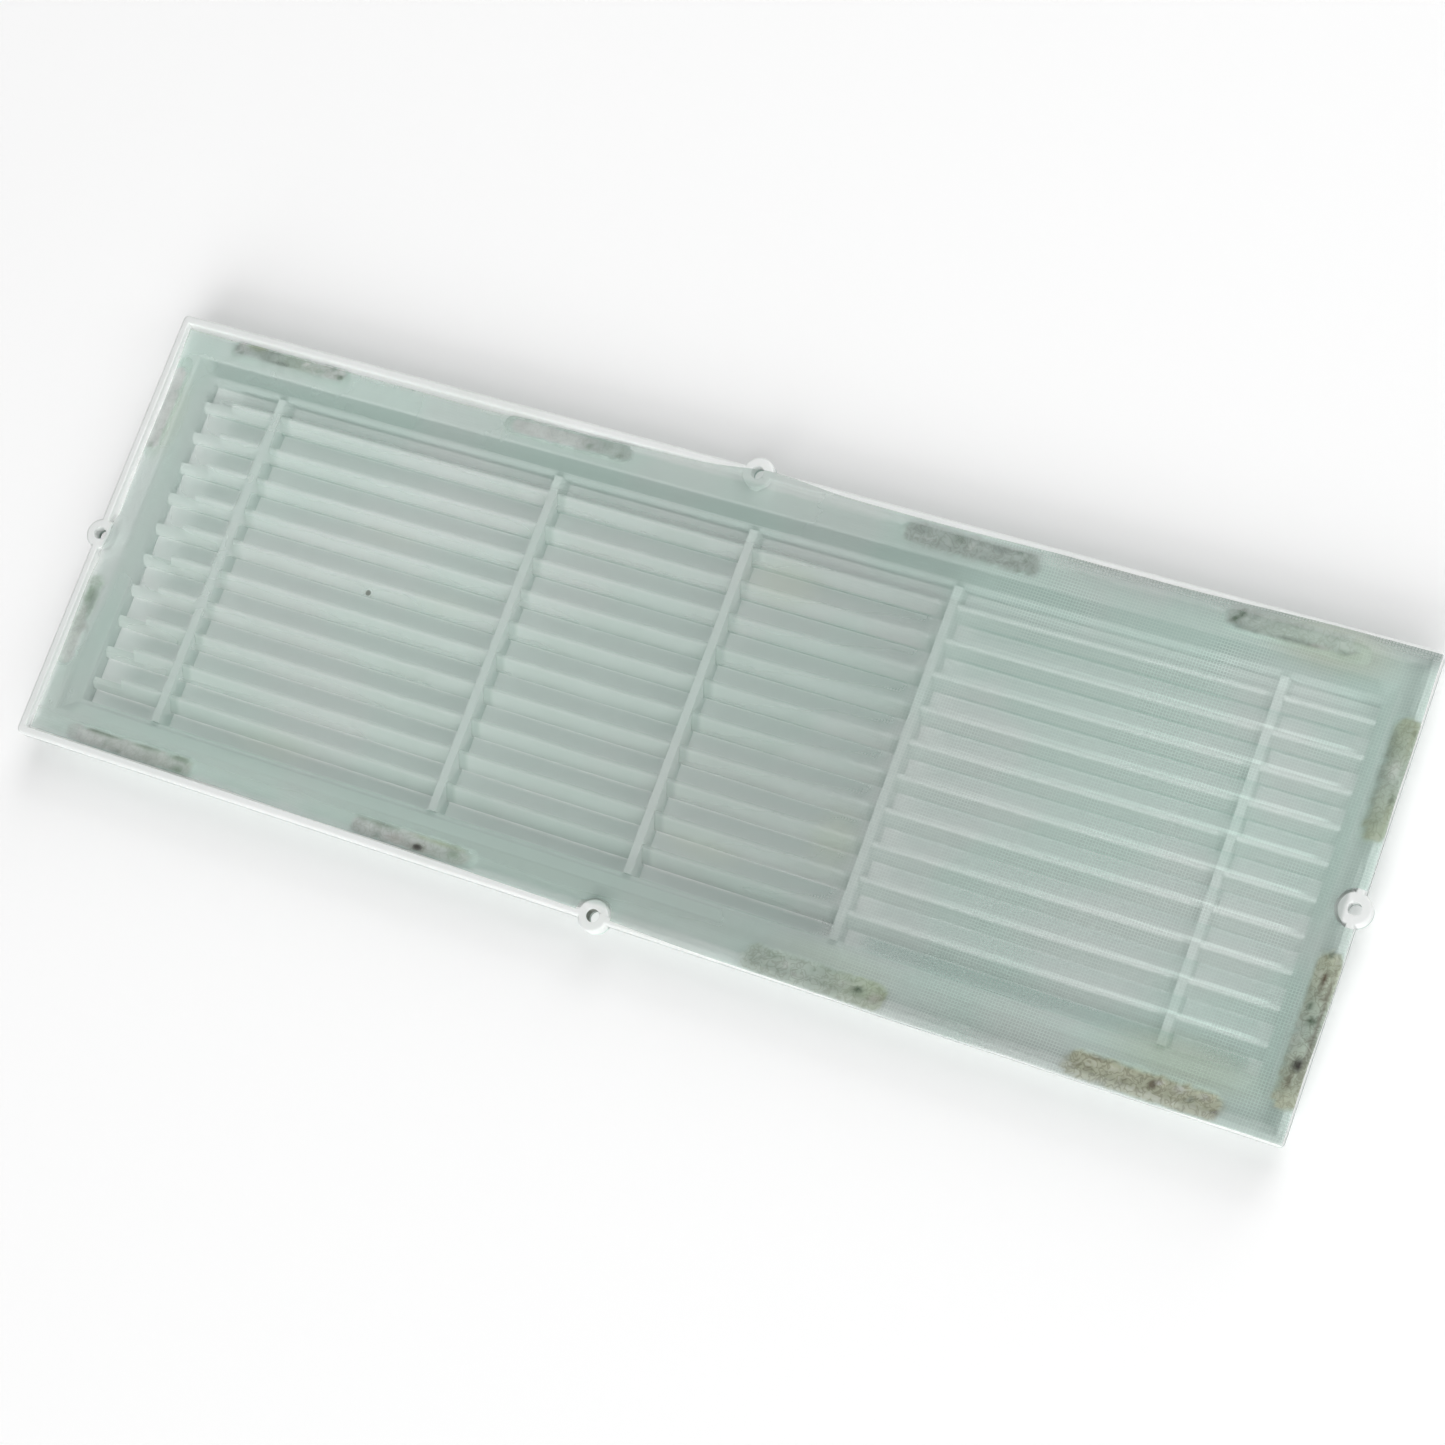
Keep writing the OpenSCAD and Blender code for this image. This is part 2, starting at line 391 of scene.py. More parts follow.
def buildTray():
    piece = mergedCopy("frame", "moulded_tray")
    lipTop, flangeTop = tray["lipTop"], tray["flangeTop"]

    def onLip(a, b):
        return near(a.z, lipTop) and near(b.z, lipTop)

    def insideLip(point):
        return abs(point.x) < lipInner.x + 0.1 * mm and abs(point.y) < lipInner.y + 0.1 * mm

    def inHole(point):
        return any((point.to_2d() - spot.to_2d()).length < tray["holeReach"] for spot in bossPlaces())

    bevelWhere(piece, lambda a, b: onLip(a, b) and not insideLip(a) and not insideLip(b)
               and not inHole(a) and not inHole(b), tray["outerBevel"], 4)
    bevelWhere(piece, lambda a, b: onLip(a, b) and insideLip(a) and insideLip(b), tray["innerBevel"])

    def onWellRim(a, b):
        inside = max(abs(a.x), abs(b.x)) < lipInner.x - 3 * mm and max(abs(a.y), abs(b.y)) < lipInner.y - 3 * mm
        return inside and near(a.z, flangeTop) and near(b.z, flangeTop)

    bevelWhere(piece, onWellRim, tray["wellBevel"])
    smoothEdges(piece)
    flattenShading(piece)
    paint(piece, plasticMaterial("tray_plastic", tray["clean"], tray["grime"], 0.15, shadeTray))
    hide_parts("frame")
    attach(piece, "root")
    return piece


buildTray()
print("tray made")

blades = {
    "clean": (0.90, 0.96, 0.935),
    "grime": (0.66, 0.72, 0.64),
    # painted highlight along the blades' front edges
    "edge": (0.95, 0.98, 0.965),
    "faceShade": (0.45, 0.51, 0.48),          # painted shade: a band under the front edges, towards the right end
    "faceShadeFrom": 30 * mm,
    "faceShadeTo": 82 * mm,
    "middleShade": (0.85, 0.87, 0.86),         # painted shade: multiplies the colour from left to right, then from +Y to -Y
    "lowShade": (0.94, 0.95, 0.94),
    "edgeDepth": 1.0 * mm,
    # painted shade beside the ribs
    "corner": (0.72, 0.76, 0.74),
}
ribPlaces = sorted((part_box(name)[0][0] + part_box(name)[1][0]) / 2
                   for name in frame["nodes"] if name.startswith("cross_rib"))


def bladePaintedLight(nodes, links, place, colour):
    # painted shade on the faces that look up at the right end, and a painted highlight along the front edges
    x, y, height = separateXyz(nodes, links, place)
    top = tray["floorLevel"]
    along = fadeRange(nodes, links, x, blades["faceShadeFrom"], blades["faceShadeTo"])
    upper = fadeRange(nodes, links, height, top - 4.8 * mm, top - 0.8 * mm, 0.4, 1.0)
    facing = separateXyz(nodes, links, nodes.new("ShaderNodeNewGeometry").outputs["Normal"])[2]
    looksUp = fadeRange(nodes, links, facing, 0.2, 0.6)
    faceShade = times(nodes, links, times(nodes, links, along, upper), looksUp)
    colour = mixColour(nodes, links, faceShade, colour, blades["faceShade"])
    # painted highlight along the front edges
    mask = fadeRange(nodes, links, height, top - blades["edgeDepth"], top - 0.1 * mm)
    colour = mixColour(nodes, links, mask, colour, blades["edge"])
    # painted shade, darkest in the middle of the panel
    fadeX = fadeRange(nodes, links, x, -90 * mm, 10 * mm)
    fadeX = times(nodes, links, fadeX, fadeRange(nodes, links, x, 90 * mm, 40 * mm))
    colour = mixColour(nodes, links, fadeX, colour, blades["middleShade"], "MULTIPLY")
    # painted shade in the corners beside the ribs: on the right of three of them, on the left of the other two
    for spot, side in zip(ribPlaces, (1, 1, 1, -1, -1)):
        away = mathNode(nodes, links, "MULTIPLY_ADD", x, side, -side * spot)
        beside = times(nodes, links, fadeRange(nodes, links, away, 4.4 * mm, 2.4 * mm),
                       fadeRange(nodes, links, away, 0, 0.8 * mm))
        colour = mixColour(nodes, links, beside, colour, blades["corner"], "MULTIPLY")
    # painted shade, darker towards -Y on the left part of the panel
    fadeY = times(nodes, links, fadeRange(nodes, links, y, 30 * mm, -30 * mm),
                  fadeRange(nodes, links, x, 80 * mm, 20 * mm))
    return mixColour(nodes, links, fadeY, colour, blades["lowShade"], "MULTIPLY")


bladeMaterial = plasticMaterial("blade_plastic", blades["clean"], blades["grime"], 0.2, bladePaintedLight)
ribMaterial = plasticMaterial("rib_plastic", (0.88, 0.93, 0.91), blades["grime"], 0.1)
for name, node in frame["nodes"].items():
    if name.startswith("louvre_blade"):
        paint(node, bladeMaterial)
    if name.startswith("cross_rib"):
        paint(node, ribMaterial)
print("blades and ribs painted")

# the woven screen

screen = {
    "pitch": 0.8 * mm,
    "thread": 0.3,           # share of the pitch
    "turn": math.radians(2),
    "step": 1.45 * mm,
    "rowStep": 0.9 * mm,
    "lintScale": 45,         # per metre
    "patchScale": 26,
    "tintScale": 22,
    "filled": (0.36, 0.487),             # how much the sheet hides, from the left to the right
    "threadShows": 0.115,                # how far threads and holes differ from that at the right
    "tones": ((0.52, 0.68, 0.615), (0.575, 0.67, 0.63)),
    "greyed": (0.68, 0.70, 0.70),
    "yellowed": (0.47, 0.56, 0.41),
    "speck": (-94.9 * mm, 2.0 * mm, screenHigh.z),
    "speckTone": (0.14, 0.16, 0.13),
    "fourthRib": (52 * mm, 66 * mm),     # the lint's painted shade changes between these places
    "slotMiddle": 45.2 * mm,             # the first and the last slot, on either side
    "slotShade": (0.14, -0.2),           # painted shade on the -Y side, then painted light on the +Y side
    "bandDrop": 1.0 * mm,    # each band of painted shade starts this far below the blade over it
    "bands": 9.5,
    "bandDepth": 0.5,
    "bandLift": -0.12,
    "bandTint": (-1.15, -0.65, -0.8),    # share of a band that each channel loses
    "frontEdgeHighlight": (0.1, 0.45),            # painted highlight over the front edges, from the fourth rib to the right end
    "cornerDirtAndShade": (0.12, 0.55),          # dirt and painted shade, on the -Y side, then the +Y side
    # the sheet's edges, past the mesh's node: inwards at the left and the top, outwards at the right and the bottom
    "leftIn": 0.4 * mm,
    "leftDip": 1.0 * mm,
    "rightOut": 2.6 * mm,
    "bottomOut": 2.5 * mm,
    "topIn": 1.0 * mm,
    "topSlope": 2.6 * mm,
    "bossCover": 1.9 * mm,
    "bossCoverHalf": 13,     # mm
    "onBoss": (4.7 * mm, 7.8 * mm),
    "notch": 4.9 * mm,
    # cut by hand, so each edge is wavy: size in mm, half turns over the edge, start
    "waves": {
        "left": [(0.4, 1.3, 0.4), (0.25, 3.1, 1.0)],
        "right": [(0.2, 1.1, 2.0), (0.1, 3.7, 0.3)],
        "bottom": [(0.15, 2.3, 0.7), (0.15, 6.1, 2.2)],
        "top": [(0.25, 1.9, 1.2), (0.15, 5.3, 0.1)],
    },
}

# old glue, all in mm: the strip it covers, how lumpy it is, how much the sheet hides there, its tones from the
# -X or -Y end on, and its marks
# a mark is x, y, half sizes, strength and tone
glue = {
    "tones": {
        "black": (0.045, 0.04, 0.035), "brown": (0.11, 0.07, 0.04), "grey": (0.13, 0.16, 0.15),
        "green": (0.08, 0.13, 0.08), "olive": (0.30, 0.34, 0.19), "pale": (0.80, 0.84, 0.80),
        "pink": (0.48, 0.45, 0.44), "film": (0.62, 0.68, 0.65), "chalk": (0.56, 0.64, 0.60),
        "sage": (0.48, 0.58, 0.50), "slate": (0.38, 0.44, 0.41), "moss": (0.44, 0.52, 0.38),
        "straw": (0.52, 0.56, 0.42),
    },
    "pads": {
        "glue_pad_top_1": {
            "strip": (-161, 55.0, -125, 59.6), "lumps": 0.25, "hides": 0.5,
            "run": ("chalk", "slate", "sage", "chalk"),
            "marks": [(-160, 57.3, 0.9, 1.1, 0.5, "grey"), (-158.2, 56, 1.3, 0.7, 0.45, "grey"),
                      (-154, 58.7, 3.5, 1.2, 0.5, "olive"), (-147.3, 58.3, 1.0, 0.6, 0.5, "grey"),
                      (-145, 56, 2.8, 0.7, 0.45, "grey"), (-137.5, 57.5, 0.8, 0.7, 0.9, "pale"),
                      (-135.3, 57.2, 0.6, 0.6, 0.7, "pale"), (-133, 56.7, 1.6, 0.7, 0.3, "grey"),
                      (-129.3, 58.3, 0.8, 0.7, 0.6, "grey"), (-126.7, 56.5, 1.2, 0.8, 0.85, "green")],
        },
        "glue_pad_top_2": {
            "strip": (-74, 54.4, -37.5, 59.0), "lumps": 0.2, "hides": 0.5,
            "run": ("film", "chalk", "slate"),
            "marks": [(-50.3, 56.2, 1.0, 0.9, 0.45, "green"), (-45, 57.8, 3, 0.6, 0.25, "grey"),
                      (-41, 56, 1.2, 0.8, 0.35, "green")],
        },
        "glue_pad_top_3": {
            "strip": (39.3, 53.4, 77.4, 59.6), "lumps": 0.35, "hides": 0.55,
            "run": ("slate", "slate"),
            "marks": [(44, 57.6, 3, 0.9, 0.35, "grey"), (46, 56.1, 3.4, 0.3, 0.3, "pale"),
                      (54.7, 57.9, 2, 1.1, 0.45, "green"), (58.2, 57, 0.3, 1.5, 0.35, "pale"),
                      (60.5, 57, 0.3, 1.4, 0.35, "pale"), (65.5, 58, 2.8, 0.9, 0.45, "grey"),
                      (71, 58.7, 1.4, 0.6, 0.5, "green"), (72.2, 57.2, 0.9, 0.9, 0.45, "green"),
                      (72.7, 54.2, 2.2, 0.5, 0.5, "green")],
        },
        "glue_pad_top_4": {
            "strip": (124.4, 54.4, 158, 60.4), "lumps": 0.3, "hides": 0.55,
            "run": ("slate", "sage"),
            "marks": [(127.3, 56.9, 1.1, 0.9, 0.95, "green"), (128.9, 58.3, 1.0, 1.0, 0.85, "green"),
                      (132, 58.3, 0.7, 1.1, 0.4, "grey"), (133, 54.8, 1.6, 0.6, 0.6, "grey"),
                      (127.7, 55, 1.8, 0.5, 0.6, "grey"), (144, 55.3, 8, 0.6, 0.4, "grey"),
                      (149, 55.6, 3, 0.8, 0.4, "pink"), (155, 55.8, 1.2, 0.8, 0.4, "grey")],
        },
        "glue_pad_bottom_1": {
            "strip": (-165, -59.8, -124, -54.2), "lumps": 0.2, "hides": 0.5,
            "run": ("film", "sage"),
            "marks": [(-154, -55.2, 7, 0.7, 0.6, "green"), (-140, -55.2, 5, 0.6, 0.5, "green"),
                      (-129, -55.2, 4, 0.7, 0.55, "green"), (-151.7, -57.2, 0.9, 1.2, 0.25, "green"),
                      (-148, -58.9, 1.1, 0.8, 0.55, "grey"), (-128.8, -58.2, 1.5, 1.0, 0.4, "green")],
        },
        "glue_pad_bottom_2": {
            "strip": (-76, -59.8, -40, -54.2), "lumps": 0.3, "hides": 0.5,
            "run": ("chalk", "sage"),
            "marks": [(-68, -55, 8, 0.9, 0.4, "green"), (-50, -55, 9, 0.8, 0.4, "olive"),
                      (-62, -57.7, 3.5, 1.4, 0.6, "pink"), (-55.2, -58, 3.6, 1.8, 0.5, "pink"),
                      (-55.2, -58, 1.9, 1.1, 1.0, "black"), (-67.2, -58.4, 0.6, 1.0, 0.5, "grey"),
                      (-41.3, -55.2, 0.8, 0.8, 0.55, "grey"), (-45, -57, 2, 1.2, 0.3, "green")],
        },
        "glue_pad_bottom_3": {
            "strip": (37, -62.4, 77.5, -53.9), "lumps": 0.5, "hides": 0.6,
            "run": ("sage", "sage", "moss"),
            "marks": [(69, -57.7, 1.2, 1.1, 1.0, "green"), (56.2, -56.2, 0.7, 0.7, 0.55, "grey"),
                      (61, -54.8, 4, 0.6, 0.4, "grey"), (49.3, -57.3, 0.6, 1.3, 0.35, "pale"),
                      (53, -59.2, 3, 0.5, 0.35, "pale"), (64.7, -57.7, 0.8, 1.4, 0.3, "pale"),
                      (73.8, -58.6, 1.9, 1.6, 0.55, "pink"), (45.7, -56, 2, 1, 0.3, "grey"),
                      (75, -57.5, 0.6, 2, 0.4, "brown")],
        },
        "glue_pad_bottom_4": {
            "strip": (122, -62.2, 163, -54.2), "lumps": 0.9, "hides": 0.6,
            "run": ("straw", "straw"),
            "marks": [(144.6, -57.4, 1.5, 1.6, 0.8, "brown"), (145.9, -56.3, 0.8, 0.7, 0.8, "pale"),
                      (126.3, -58.3, 1.0, 1.2, 0.5, "brown"), (129.4, -58.6, 1.0, 1.0, 0.5, "brown"),
                      (130, -55.3, 3, 0.7, 0.5, "brown"), (154.2, -58, 1.0, 1.0, 0.6, "grey"),
                      (160.8, -59.1, 1.3, 0.9, 0.8, "brown"), (151, -56.4, 1.6, 1, 0.5, "pale"),
                      (157, -56.3, 1.2, 0.9, 0.4, "pale"), (138, -58.6, 1, 1.4, 0.4, "brown")],
        },
        "glue_pad_left_1": {
            "strip": (-176, 23, -171.5, 48), "lumps": 0.1, "hides": 0.5,
            "run": ("film", "film"),
            "marks": [(-173.6, 24.3, 0.8, 0.8, 0.4, "green")],
        },
        "glue_pad_left_2": {
            "strip": (-176.2, -41, -170.6, -14), "lumps": 0.2, "hides": 0.55,
            "run": ("chalk", "sage"),
            "marks": [(-172, -21.5, 0.9, 6, 0.5, "grey"), (-173.6, -20.3, 1.4, 3, 0.4, "green")],
        },
        "glue_pad_right_1": {
            "strip": (171.6, 12.3, 179.4, 44.8), "lumps": 0.4, "hides": 0.9,
            "run": ("moss", "sage", "moss"),
            "marks": [(172.6, 29, 0.5, 13, 0.4, "grey"), (177.2, 21, 0.6, 6, 0.35, "olive"),
                      (176.8, 39, 0.6, 6, 0.35, "olive"), (176.9, 23.7, 0.8, 1.8, 0.4, "green"),
                      (175.4, 31, 1.4, 3, 0.35, "pale")],
        },
        "glue_pad_right_2": {
            "strip": (171.4, -54.6, 179.4, -14.2), "lumps": 0.6, "hides": 0.9,
            "run": ("straw", "sage", "straw"),
            "marks": [(177.3, -34, 0.6, 18, 0.55, "brown"), (175.2, -23, 0.6, 3.4, 0.5, "brown"),
                      (174.8, -15.6, 1.0, 1.2, 0.8, "green"), (175.3, -21.5, 0.9, 1.4, 0.9, "brown"),
                      (176.2, -26.2, 0.9, 1.1, 0.5, "brown"), (173.8, -28.5, 1.1, 1.2, 0.75, "green"),
                      (175.6, -32, 1.1, 1.3, 0.95, "green"), (176, -36.2, 0.8, 1.0, 0.4, "brown"),
                      (175.6, -42.7, 1.3, 2.1, 1.0, "black"), (174.5, -46.8, 0.8, 3, 0.65, "brown"),
                      (173, -36, 1.0, 6, 0.3, "pale")],
        },
    },
}

# yellowed patches on the screen: middle, half size (mm) and strength
stains = [
    ((14, 35), (13, 8), 0.55),
    ((50, -24), (8, 10), 0.5),
    ((18, -36), (14, 4), 0.4),
    ((-171, 33), (5, 15), 0.6),
    ((-105, -44), (16, 5), 0.35),
    ((-72, 5), (12, 4), 0.25),
    ((-95, 18), (14, 4), 0.25),
    ((152, 56), (20, 8), 0.8),
    ((150, -50), (24, 8), 0.7),
    ((60, -52), (20, 4), 0.3),
]


def weaveGroup():
    group, entry, exit = newGroup(
        "plainWeave",
        [("Vector", "NodeSocketVector", None), ("Pitch", "NodeSocketFloat", 0.0008),
         ("Half Thread", "NodeSocketFloat", 0.2)],
        [("Cover", "NodeSocketFloat"), ("Height", "NodeSocketFloat")])
    nodes, links = group.nodes, group.links
    x, y = separateXyz(nodes, links, entry.outputs["Vector"])[:2]
    across = mathNode(nodes, links, "DIVIDE", x, entry.outputs["Pitch"])
    along = mathNode(nodes, links, "DIVIDE", y, entry.outputs["Pitch"])
    nearX = mathNode(nodes, links, "PINGPONG", across, 0.5)
    nearY = mathNode(nodes, links, "PINGPONG", along, 0.5)
    half = entry.outputs["Half Thread"]
    soft = times(nodes, links, half, 1.25)
    hard = times(nodes, links, half, 0.75)

    def inThread(distance):
        node = addNode(nodes, "ShaderNodeMapRange", interpolation_type="SMOOTHSTEP")
        links.new(distance, node.inputs[0])
        links.new(soft, node.inputs[1])
        links.new(hard, node.inputs[2])
        return node.outputs[0]

    warp, weft = inThread(nearX), inThread(nearY)
    links.new(mathNode(nodes, links, "MAXIMUM", warp, weft), exit.inputs["Cover"])
    columns = mathNode(nodes, links, "ROUND", across)
    rows = mathNode(nodes, links, "ROUND", along)
    parity = mathNode(nodes, links, "PINGPONG", mathNode(nodes, links, "ADD", columns, rows), 1.0)
    warpHeight = times(nodes, links, warp, mathNode(nodes, links, "MULTIPLY_ADD", parity, 0.5, 0.5))
    weftHeight = times(nodes, links, weft, mathNode(nodes, links, "MULTIPLY_ADD", parity, -0.5, 1.0))
    links.new(mathNode(nodes, links, "MAXIMUM", warpHeight, weftHeight), exit.inputs["Height"])
    return group


def oldGlueGroup():
    # soft lumps with darker squiggly outlines
    group, entry, exit = newGroup(
        "oldGlue",
        [("Vector", "NodeSocketVector", None), ("Tone", "NodeSocketColor", (0.3, 0.3, 0.25, 1)),
         ("Lumps", "NodeSocketFloat", 0.3)],
        [("Color", "NodeSocketColor")])
    nodes, links = group.nodes, group.links
    vector, lumps = entry.outputs["Vector"], entry.outputs["Lumps"]
    swirl = noiseValue(nodes, links, vector, 520, 1, 0.5, 0.9)
    away = mathNode(nodes, links, "ABSOLUTE", mathNode(nodes, links, "SUBTRACT", swirl, 0.5))
    outline = times(nodes, links, fadeRange(nodes, links, away, 0.09, 0.0), lumps)
    colour = mixColour(nodes, links, times(nodes, links, outline, 0.75), entry.outputs["Tone"],
                       (0.42, 0.38, 0.32), "MULTIPLY")
    pale = times(nodes, links, fadeRange(nodes, links, swirl, 0.58, 0.72), lumps)
    colour = mixColour(nodes, links, times(nodes, links, pale, 0.4), colour, (0.70, 0.72, 0.66))
    cloud = fadeRange(nodes, links, noiseValue(nodes, links, vector, 240, 3), 0.35, 0.65)
    links.new(mixColour(nodes, links, cloud, colour,
                        mixColour(nodes, links, 1.0, colour, (0.86, 0.87, 0.86), "MULTIPLY")), exit.inputs["Color"])
    return group


glueGroup = oldGlueGroup()


def stripReach(point, strip):
    # 1 along a strip's middle line, 0 at its rim
    middle = ((strip[0] + strip[2]) / 2, (strip[1] + strip[3]) / 2)
    half = ((strip[2] - strip[0]) / 2, (strip[3] - strip[1]) / 2)
    along = 0 if half[0] > half[1] else 1
    short = half[1 - along]
    over = max(0.0, abs(point[along] - middle[along]) - (half[along] - short))
    away = math.hypot(over, point[1 - along] - middle[1 - along])
    return 1 - away / short, (point[along] - middle[along] + half[along]) / (2 * half[along])


def blend(first, second, share):
    return tuple(a + (b - a) * share for a, b in zip(first, second))


def glueAt(x, y):
    # amount, tone, lumps and hiding power of the old glue at a point in mm
    for pad in glue["pads"].values():
        strip = pad["strip"]
        if not (strip[0] < x < strip[2] and strip[1] < y < strip[3]):
            continue
        reach, run = stripReach((x, y), strip)
        reach += 0.22 * noise.noise(Vector((x * 0.5, y * 0.5, 3)))
        if reach <= 0:
            continue
        tones = [glue["tones"][name] for name in pad["run"]]
        spot = min(max(run, 0.0), 0.999) * (len(tones) - 1)
        tone = blend(tones[int(spot)], tones[int(spot) + 1], spot - int(spot))
        rim = 1 - eased(reach, 0.1, 0.45)
        tone = tuple(channel * (1 - 0.07 * rim) for channel in tone)
        for markX, markY, halfX, halfY, strength, name in pad["marks"]:
            away = math.hypot((x - markX) / halfX, (y - markY) / halfY)
            if away < 1.25:
                tone = blend(tone, glue["tones"][name], strength * (1 - eased(away, 0.35, 1.25)))
        return eased(reach, 0.0, 0.3), tone, pad["lumps"], pad["hides"]
    return 0.0, (0.45, 0.52, 0.48), 0.0, 0.43


bladeLows = sorted((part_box(name)[0][1] for name in frame["nodes"] if name.startswith("louvre_blade")),
                   reverse=True)
bladeStep = (bladeLows[0] - bladeLows[-1]) / (len(bladeLows) - 1)


def screenCover(nodes, links, place, x):
    # how much the sheet hides: lint fills the holes up to the fourth rib, past it the threads show in patches
    turned = nodes.new("ShaderNodeMapping")
    links.new(place, turned.inputs["Vector"])
    turned.inputs["Rotation"].default_value = (0, 0, screen["turn"])
    weave = useGroup(nodes, weaveGroup())
    links.new(turned.outputs[0], weave.inputs["Vector"])
    weave.inputs["Pitch"].default_value = screen["pitch"]
    weave.inputs["Half Thread"].default_value = screen["thread"] / 2
    lint = noiseValue(nodes, links, place, screen["lintScale"], 4, 0.6)
    patch = fadeRange(nodes, links, noiseValue(nodes, links, place, screen["patchScale"], 2), 0.46, 0.6, 0.3, 1.0)
    even = mathNode(nodes, links, "MULTIPLY_ADD", mathNode(nodes, links, "SUBTRACT", lint, 0.5), 0.06,
                    fadeRange(nodes, links, x, -20 * mm, 100 * mm, *screen["filled"]))
    spread = times(nodes, links, patch, fadeRange(nodes, links, x, 45 * mm, 90 * mm, 0.0, screen["threadShows"]))
    film = mathNode(nodes, links, "SUBTRACT", even, spread)
    thread = mathNode(nodes, links, "ADD", even, spread)
    threads = times(nodes, links, weave.outputs["Cover"], thread)
    return mathNode(nodes, links, "MAXIMUM", threads, film), weave.outputs["Height"]


def lintAndPaintedShade(nodes, links, x, y, colour):
    # painted shade on the lint: it gets darker up to the fourth rib and is paler past it, and a little darker low
    # down
    ribStart, ribEnd = screen["fourthRib"]
    darker = times(nodes, links, fadeRange(nodes, links, x, -140 * mm, 40 * mm, 0.03, 0.19),
                   fadeRange(nodes, links, x, ribEnd, ribStart))
    darker = mathNode(nodes, links, "ADD", darker, fadeRange(nodes, links, x, 55 * mm, 165 * mm, 0, -0.16))
    darker = mathNode(nodes, links, "ADD", darker, fadeRange(nodes, links, y, 20 * mm, -40 * mm, 0, 0.07))
    # painted light: it is paler along the -Y flange
    paler = times(nodes, links, fadeRange(nodes, links, y, -53 * mm, -57.5 * mm, 0, -0.3),
                  fadeRange(nodes, links, x, 85 * mm, 50 * mm))
    darker = mathNode(nodes, links, "ADD", darker, paler)
    # painted light over the first slot and painted shade over the last
    slot = mathNode(nodes, links, "SUBTRACT", mathNode(nodes, links, "ABSOLUTE", y), screen["slotMiddle"])
    slot = fadeRange(nodes, links, mathNode(nodes, links, "ABSOLUTE", slot), 3 * mm, 1.4 * mm)
    slot = times(nodes, links, slot,
                 fadeRange(nodes, links, mathNode(nodes, links, "ABSOLUTE", x), 166 * mm, 160 * mm))
    slotShade = fadeRange(nodes, links, y, -10 * mm, 10 * mm, *screen["slotShade"])
    darker = mathNode(nodes, links, "MULTIPLY_ADD", slot, slotShade, darker)
    shade = nodes.new("ShaderNodeCombineXYZ")
    for socket in shade.inputs:
        links.new(mathNode(nodes, links, "SUBTRACT", 1.0, darker), socket)
    return mixColour(nodes, links, 1.0, colour, shade.outputs[0], "MULTIPLY")


def gapBands(nodes, links, x, y, colour):
    # painted shade: a darker band over each gap between the blades, heaviest at its upper edge
    bandTop = bladeLows[0] - screen["bandDrop"]
    run = mathNode(nodes, links, "DIVIDE", mathNode(nodes, links, "SUBTRACT", bandTop, y), bladeStep)
    phase = mathNode(nodes, links, "FRACT", run)
    band = times(nodes, links, fadeRange(nodes, links, phase, 0.0, 0.13),
                 mathNode(nodes, links, "SUBTRACT", 1.0, phase))
    band = mathNode(nodes, links, "MULTIPLY_ADD", band, screen["bandDepth"], screen["bandLift"])
    leftBays = times(nodes, links, fadeRange(nodes, links, x, -162 * mm, -156 * mm),
                     fadeRange(nodes, links, x, 58 * mm, 52 * mm))
    for spot in ribPlaces[:3]:
        away = mathNode(nodes, links, "ABSOLUTE", mathNode(nodes, links, "SUBTRACT", x, spot + 2.2 * mm))
        leftBays = times(nodes, links, leftBays, fadeRange(nodes, links, away, 1.4 * mm, 2.8 * mm))
    band = times(nodes, links, band, leftBays)
    # past the fourth rib they are fainter, with a painted highlight line over each front edge
    rightBays = times(nodes, links, fadeRange(nodes, links, x, 62 * mm, 70 * mm),
                      fadeRange(nodes, links, x, 166 * mm, 162 * mm))
    faint = times(nodes, links, fadeRange(nodes, links, phase, 0.0, 0.06),
                  mathNode(nodes, links, "MULTIPLY_ADD", phase, -0.37, 0.2))
    faint = mathNode(nodes, links, "MAXIMUM", faint, 0.0)
    lastGap = fadeRange(nodes, links, run, 8.95, 9.05, 0.0, 0.2)
    band = mathNode(nodes, links, "MULTIPLY_ADD", mathNode(nodes, links, "ADD", faint, lastGap), rightBays, band)
    line = mathNode(nodes, links, "ABSOLUTE", mathNode(nodes, links, "SUBTRACT", phase, 0.5))
    line = times(nodes, links, fadeRange(nodes, links, line, 0.07, 0.02),
                 fadeRange(nodes, links, x, 60 * mm, 160 * mm, *screen["frontEdgeHighlight"]))
    inside = times(nodes, links, fadeRange(nodes, links, run, -0.5, -0.4),
                   fadeRange(nodes, links, run, screen["bands"], screen["bands"] - 0.1))
    band = times(nodes, links, band, inside)
    paleLine = mathNode(nodes, links, "MULTIPLY_ADD", line, times(nodes, links, rightBays, inside), 1.0)
    shade = nodes.new("ShaderNodeCombineXYZ")
    for socket, share in zip(shade.inputs, screen["bandTint"]):
        links.new(mathNode(nodes, links, "MULTIPLY_ADD", band, share, paleLine), socket)
    return mixColour(nodes, links, 1.0, colour, shade.outputs[0], "MULTIPLY")


